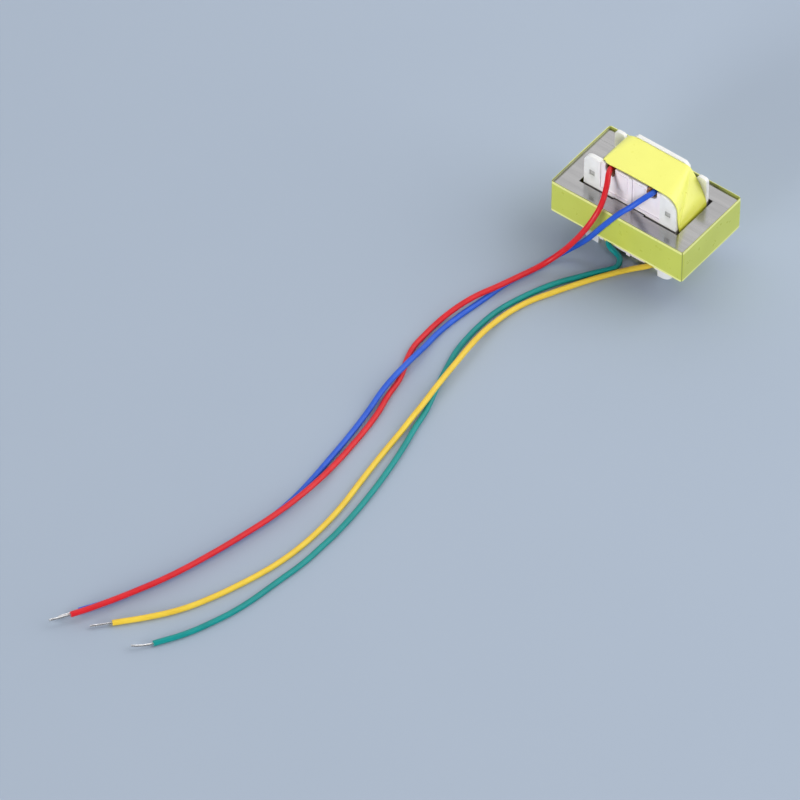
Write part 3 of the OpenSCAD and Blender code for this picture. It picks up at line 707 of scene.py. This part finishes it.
for face_axis, face_at, run_axis, run_middle, run_half in (
    ("X", -BAND_L / 2, "Y", BAND_END_Y + END_RUN_LEFT, END_RUN_LEFT),
    ("Y", BAND_W / 2, "X", BAND_END_X - END_RUN_REAR, END_RUN_REAR),
):
    on_end = box_mask(
        band_film, (face_axis, face_at, FROM_MIDDLE, END_SKIN, SHARP),
        (run_axis, run_middle, FROM_MIDDLE, run_half, SHARP),
    )
    tint(band_film, on_end, (0.68, 0.72, 0.10))
on_rim = band_mask(band_film, "Z", CORE_MIDDLE, PLATE_TOP, BAND_H, RIM_SOFT)
tint(band_film, on_rim, (0.88, 0.90, 0.32))
# Painted shade: the band's inner side is dark olive, where it stands in shade over the plates
painted_shade_inner_side = box_mask(
    band_film, ("X", 0, FROM_MIDDLE, BAND_L / 2 - TAPE_THICKNESS / 2, INNER_SOFT),
    ("Y", 0, FROM_MIDDLE, BAND_W / 2 - TAPE_THICKNESS / 2, INNER_SOFT),
)
tint(band_film, painted_shade_inner_side, (0.30, 0.33, 0.06))
fit(core_tape, band_film, "core_tape_film", "core_tape")


# Leads: stranded hook-up wire in soft vinyl, red and blue out of the upper slots, green and yellow out of
# the lower ones. They hang down over the core and lie in loose curves, cut square at their free ends.
LEAD_RADIUS = 0.5
STRAND_BUNDLE = 0.2
# The cut end: the size of its face, its rounded rim, and the hole that the strands come out of
CUT_FACE, CUT_RIM, CUT_DOME = 0.1, 0.06, 0.05
HOLE_ROOM, HOLE_DEPTH = 0.06, 0.5
# Each lead's way from its joint on
ROUTES = {
    "red": [
        (-3.9, -5.6, 19), (-3.4, -6.5, 18.4), (-3, -7.5, 17.4), (-2.4, -9.4, 16), (-2.7, -11.2, 13.7),
        (-3.9, -12.7, 10.6), (-5, -13.3, 8.5), (-7.2, -14.2, 4.9), (-9.6, -16.5, 2.1),
        (-11.2, -20.2, 1.6), (-12.6, -24.2, 1.6), (-14.5, -29.4, 1.6), (-15.6, -33.7, 1.2),
        (-16.2, -37, 0.6), (-16.2, -40.5, 0.5), (-16, -43.5, 0.5), (-15.2, -46.3, 0.5),
        (-13.4, -50.7, 0.5), (-12.5, -55.2, 0.5), (-11.4, -59.5, 0.5), (-10.3, -67.9, 0.5),
        (-9.9, -72.9, 0.6), (-9.5, -77.9, 1.2), (-9.5, -82.6, 1.6), (-10.1, -87.8, 1.6),
        (-11.1, -93.3, 1.6), (-13.6, -103.7, 1.6), (-15.5, -109.9, 1.6), (-17.3, -114.5, 1.6),
        (-21.1, -122.8, 1.6), (-22.9, -126.1, 1.6),
    ],
    "blue": [
        (4.4, -5.6, 19.1), (3.7, -6.9, 18.5), (2.6, -8, 17.2), (1.2, -8.8, 15.6), (-0.7, -9.2, 12.8),
        (-2.6, -9.4, 9.8), (-5.3, -9.8, 5.5), (-8.1, -10.8, 2.2), (-9.8, -12.8, 0.8), (-10.6, -15.8, 0.5),
        (-12.5, -21.8, 0.5), (-13.5, -28.3, 0.5), (-14.4, -34.3, 0.5), (-14.7, -38.6, 0.5),
        (-14.4, -42.6, 0.8), (-14.1, -45.4, 1.3), (-13.9, -48.8, 1.6), (-13.7, -52.6, 1.6),
        (-13.5, -55.8, 1.2), (-13, -59.3, 0.7), (-12.1, -65.6, 0.5), (-11.4, -72, 0.5),
        (-10.8, -78.2, 0.5), (-10.6, -82.9, 0.5), (-10.8, -87.5, 0.5), (-11.8, -93.1, 0.5),
        (-14.2, -103, 0.5), (-16.4, -109.9, 0.5), (-17.9, -113.6, 0.5), (-20.3, -119.2, 0.5),
        (-23, -123.9, 0.5),
    ],
    "green": [
        (-3.3, -5, 0.8), (-2.5, -5.1, 0.6), (-1.7, -5.3, 0.5), (-1, -5.7, 0.5), (-0.5, -6.4, 0.5),
        (-0.2, -7.2, 0.5), (-0.3, -8.1, 0.5), (-0.7, -8.8, 0.5), (-1.5, -10, 0.5), (-2.6, -11.6, 0.5),
        (-4.1, -14, 0.5), (-5.6, -16.4, 0.5), (-7.2, -19.7, 0.5), (-8.6, -23.5, 0.5), (-9.8, -27.9, 0.5),
        (-10.2, -32.2, 0.5), (-10.1, -36.4, 0.5), (-9.7, -39.9, 0.5), (-8.7, -43.7, 0.5),
        (-7.1, -48.9, 0.5), (-5.4, -53.9, 0.5), (-4.5, -57.9, 0.5), (-3.2, -63.1, 0.5),
        (-2.2, -67.9, 0.5), (-1, -75.6, 0.5), (-0.3, -83.9, 0.5), (-0.3, -88.3, 0.5), (-0.5, -93.5, 0.5),
        (-1.1, -97.9, 0.5), (-2.6, -107.3, 0.5), (-4.2, -112.5, 0.5), (-6, -116.9, 0.5),
        (-8.9, -121.9, 0.5),
    ],
    "yellow": [
        (3.4, -5.4, 0.8), (2.3, -6.5, 0.6), (1, -8.2, 0.5), (-0.4, -10.4, 0.5), (-1.8, -12.8, 0.5),
        (-3.2, -15.4, 0.5), (-5.2, -19.4, 0.5), (-6.8, -22.8, 0.5), (-8, -27, 0.6), (-8.4, -30.5, 0.8),
        (-8.4, -33.9, 1.2), (-8, -38.5, 1.6), (-7.6, -42.2, 1.6), (-7.2, -45.8, 1.6), (-6.7, -49.8, 1.6),
        (-6.1, -53.8, 1.6), (-5.9, -57, 1.2), (-5.7, -60.1, 0.7), (-5.1, -66.3, 0.5), (-4.2, -72.9, 0.5),
        (-3.2, -79.9, 0.5), (-2.9, -84.9, 0.5), (-3, -90, 0.5), (-3.6, -95, 0.5), (-4.5, -99, 0.5),
        (-5.8, -103.3, 0.5), (-7.6, -108.3, 0.5), (-10, -113.4, 0.5), (-13.1, -117.9, 0.5),
        (-17, -122.6, 0.5),
    ],
}
# Each lead's darker and lighter colour
VINYL = {
    "red": ((0.66, 0.012, 0.02), (0.76, 0.02, 0.03)),
    "blue": ((0.018, 0.10, 0.62), (0.028, 0.13, 0.72)),
    "green": ((0.003, 0.26, 0.25), (0.005, 0.315, 0.30)),
    "yellow": ((0.86, 0.58, 0.05), (0.93, 0.66, 0.065)),
}


def lead_tube(name, route):
    """A tube along the route, hollowed a little at its free end, and the line that it follows."""
    tube = smooth_curve(name, [route])
    evaluated = tube.evaluated_get(bpy.context.evaluated_depsgraph_get())
    path = [vertex.co.copy() for vertex in evaluated.to_mesh().vertices]
    evaluated.to_mesh_clear()
    tube = thicken(tube, LEAD_RADIUS, roundness=6)
    end = path[-1]
    backwards = (path[-2] - end).normalized()
    pick_faces(tube, lambda place: (place - end / MM).length < CUT_FACE)
    bpy.ops.mesh.inset(thickness=CUT_RIM * MM, depth=CUT_DOME * MM)
    bpy.ops.mesh.inset(thickness=(LEAD_RADIUS - CUT_RIM - STRAND_BUNDLE - HOLE_ROOM) * MM)
    bpy.ops.mesh.extrude_region_move(TRANSFORM_OT_translate={"value": backwards * HOLE_DEPTH * MM})
    bpy.ops.object.mode_set(mode="OBJECT")
    smooth_below(50)
    return tube, path


leads = {}
for colour, points in ROUTES.items():
    start, out = (Vector(place) for place in STARTS[colour])
    leads[colour] = lead_tube("lead_tube_" + colour, [start, start + out, *points])
    vinyl = surface(
        colour + "_vinyl", *VINYL[colour], grain=350, rough=(0.32, 0.44), relief=8e-6,
        sockets={"Specular IOR Level": 0.3},
    )
    fit(leads[colour][0], vinyl, colour + "_insulation", "lead_" + colour)


# Tinned ends: the last few millimetres of each lead are stripped, and the bare copper strands are twisted
# together and dipped in solder. Each was bent or spread a little when it was handled.
STRIP_LENGTH = 3.8
STRAND_RADIUS = 0.066
STRAND_LAY = 2.4
STRAND_SPACING = 2.05
STRAND_STEPS = 24
OUTER_STRANDS = 6
INSIDE_LEAD = 0.35
# The strands end unevenly, in an order that a stride through their numbers gives
RAGGED, RAGGED_STRIDE = 0.06, 5
# How far each end is bent sideways and up, and how far its strands spread
END_BENDS = {
    "red": (0.1, 0.05, 0.05), "blue": (-0.1, 0.1, 0.1),
    "green": (0.25, 0.3, 0.0), "yellow": (0.0, 0.05, 0.05),
}

for colour, (lead, path) in leads.items():
    end = path[-1] / MM
    heading = (path[-1] - path[-2]).normalized()
    side = heading.cross(Vector((0, 0, 1))).normalized()
    above = side.cross(heading)
    sideways, upwards, spread = END_BENDS[colour]
    curve = bpy.data.curves.new("tinned_strands_" + colour, "CURVE")
    curve.dimensions = "3D"
    for strand in range(OUTER_STRANDS + 1):
        spline = curve.splines.new("POLY")
        spline.points.add(STRAND_STEPS)
        reach = STRIP_LENGTH - RAGGED * (strand * RAGGED_STRIDE % (OUTER_STRANDS + 1))
        for k, point in enumerate(spline.points):
            out = -INSIDE_LEAD + (reach + INSIDE_LEAD) * k / STRAND_STEPS
            share = max(0, out / STRIP_LENGTH)
            turn = 2 * math.pi * (out / STRAND_LAY + strand / OUTER_STRANDS)
            apart = 0 if strand == OUTER_STRANDS else STRAND_SPACING * STRAND_RADIUS
            apart *= 1 + 2 * spread * share ** 3
            place = end + heading * out
            place += side * (sideways * share ** 2 * STRIP_LENGTH / 2 + apart * math.cos(turn))
            place += above * (upwards * share ** 2 * STRIP_LENGTH / 2 + apart * math.sin(turn))
            point.co = (*(place * MM), 1)
    strands = bpy.data.objects.new("tinned_strands_" + colour, curve)
    bpy.context.scene.collection.objects.link(strands)
    strands = thicken(strands, STRAND_RADIUS, roundness=2)
    fit(strands, solder, "solder", "tinned_end_" + colour)


# Stage: a plain pale blue-grey floor under an even sky, with soft lamps on the right, in front and behind,
# and the camera where the photograph was taken from.
FLOOR_SIZE = 5
SKY_COLOUR, SKY_STRENGTH = (0.97, 0.98, 1, 1), 0.11
LAMP_AIM = Vector((0, 0, 0.01))
AZIMUTH, ELEVATION = math.radians(37.97), math.radians(47.52)
LENS, SENSOR = 360, 36
# The camera stands off from a point above the origin, along its own right, up and back
AIM_UP = 13.4
CAMERA_RIGHT, CAMERA_UP, CAMERA_BACK = -41.76, -35.80, 1358.0

floor_surface = surface(
    "pale_floor", dark=(0.412, 0.484, 0.589), light=(0.422, 0.494, 0.599), grain=12, rough=(0.7, 0.8),
    relief=0, sockets={"Specular IOR Level": 0.1},
)
bpy.ops.object.select_all(action="DESELECT")
bpy.ops.mesh.primitive_plane_add(size=FLOOR_SIZE)
floor = bpy.context.object
floor.name = "floor"
floor.data.materials.append(floor_surface)

world = bpy.data.worlds.new("even_sky")
world.use_nodes = True
sky = world.node_tree.nodes["Background"]
sky.inputs["Color"].default_value = SKY_COLOUR
sky.inputs["Strength"].default_value = SKY_STRENGTH
bpy.context.scene.world = world


def soft_lamp(name, place, size, power):
    """A square soft lamp at a place in metres, aimed at the core."""
    lamp = bpy.data.lights.new(name, "AREA")
    lamp.size = size
    lamp.energy = power
    piece = bpy.data.objects.new(name, lamp)
    bpy.context.scene.collection.objects.link(piece)
    piece.location = place
    piece.rotation_euler = (Vector(place) - LAMP_AIM).to_track_quat("Z", "Y").to_euler()
    piece.visible_camera = False


soft_lamp("lamp_right", place=(0.68, 0.52, 0.55), size=1.2, power=11.0)
soft_lamp("lamp_front", place=(0.0, -1.33, 0.3), size=0.5, power=12.2)
soft_lamp("lamp_behind", place=(-0.5, 0.64, 0.89), size=2.4, power=17.0)

right = Vector((math.cos(AZIMUTH), math.sin(AZIMUTH), 0))
back = Vector((
    math.sin(AZIMUTH) * math.cos(ELEVATION), -math.cos(AZIMUTH) * math.cos(ELEVATION), math.sin(ELEVATION)
))
up = back.cross(right)
lens = bpy.data.cameras.new("camera")
lens.lens = LENS
lens.sensor_width = SENSOR
camera = bpy.data.objects.new("camera", lens)
bpy.context.scene.collection.objects.link(camera)
camera.rotation_euler = Matrix((right, up, back)).transposed().to_euler()
offset = right * CAMERA_RIGHT + up * CAMERA_UP + back * CAMERA_BACK
camera.location = (offset + Vector((0, 0, AIM_UP))) * MM
bpy.context.scene.camera = camera
bpy.context.scene.view_settings.view_transform = "Standard"
